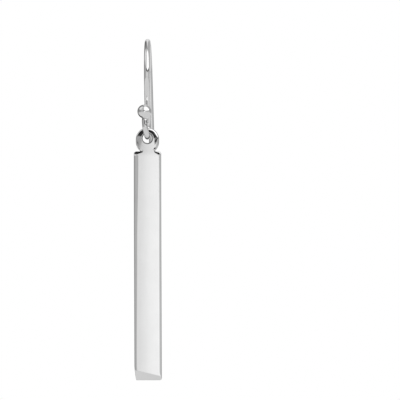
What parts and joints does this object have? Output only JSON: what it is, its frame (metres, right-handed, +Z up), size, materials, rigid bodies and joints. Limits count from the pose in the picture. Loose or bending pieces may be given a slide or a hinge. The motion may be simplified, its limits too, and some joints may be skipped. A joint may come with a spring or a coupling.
{
  "type": "bar earring",
  "caption": "Slim flat silver bar that hangs by its own pierced eye from the looped, ball-ended front of a round ear wire.",
  "frame": {"origin": "middle of the wire at the top of the arch, where the ear wire sits in the piercing", "axes": "+Z up, -Y to the front, where the ball and the face of the bar are, +Y to the back, behind the ear, and +X to the right as one looks at the face of the bar"},
  "size_m": [0.004, 0.0122, 0.0487],
  "materials": {
    "wire_silver": "polished silver wire with fine drawing lines and light handling marks",
    "bar_silver": "polished silver sheet, very slightly wavy, with faint hairline polishing marks and softened edges"
  },
  "bodies": {
    "ear_wire": {"ear_hook": "wire_silver"},
    "drop": {"bar_drop": "bar_silver"}
  },
  "joints": [
    {"name": "drop_swing", "type": "hinge", "parent": "ear_wire", "child": "drop", "pos_m": [0, -0.00265, -0.01365], "axis": [0, 1, 0], "range_deg": [-136, 136]}
  ]
}
